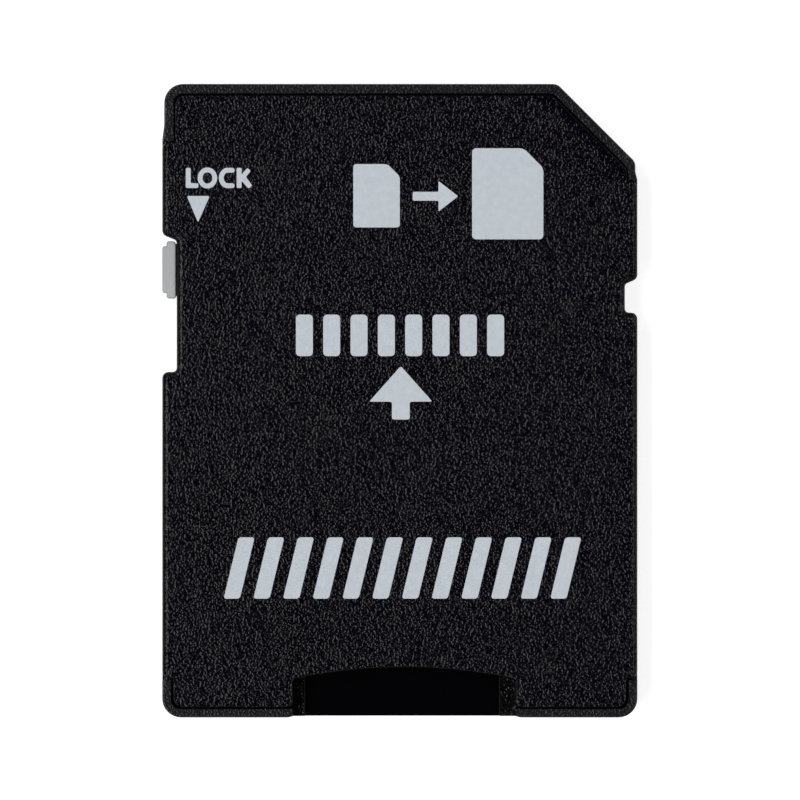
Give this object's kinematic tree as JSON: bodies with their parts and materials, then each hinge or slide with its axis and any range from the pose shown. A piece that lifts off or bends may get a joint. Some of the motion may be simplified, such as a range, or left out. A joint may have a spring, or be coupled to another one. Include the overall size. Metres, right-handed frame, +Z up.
{
  "type": "memory card adapter",
  "caption": "Flat sleeve that holds a small memory card in a rear mouth and passes its contacts to full-size pads, with a sliding write lock on one edge.",
  "frame": {"origin": "middle of the footprint, on the plane of the raised contact side that it lies on", "axes": "+X to the right as the label is read, +Y towards the insertion end with the cut corner, +Z up out of the label side"},
  "size_m": [0.024, 0.032, 0.0021],
  "materials": {
    "cover_plastic": "black, finely spark-eroded",
    "base_plastic": "black, finely spark-eroded, smooth in the bay",
    "carrier_plastic": "black, plain",
    "slider_plastic": "light grey, satin",
    "spring_steel": "rolled strip",
    "gold_plating": "gold plated"
  },
  "bodies": {
    "shell": {"top_cover": "cover_plastic", "base_shell": "base_plastic", "contact_carrier": "carrier_plastic", "card_retaining_spring": "spring_steel", "terminal_data_2": "gold_plating", "terminal_data_3": "gold_plating", "terminal_command": "gold_plating", "terminal_ground": "gold_plating", "terminal_supply": "gold_plating", "terminal_clock": "gold_plating", "terminal_data_0": "gold_plating", "terminal_data_1": "gold_plating"},
    "slider": {"lock_slider": "slider_plastic"}
  },
  "joints": [
    {"name": "write_lock", "type": "slide", "parent": "shell", "child": "slider", "axis": [0, -1, 0], "range_m": [0, 0.0036]}
  ]
}
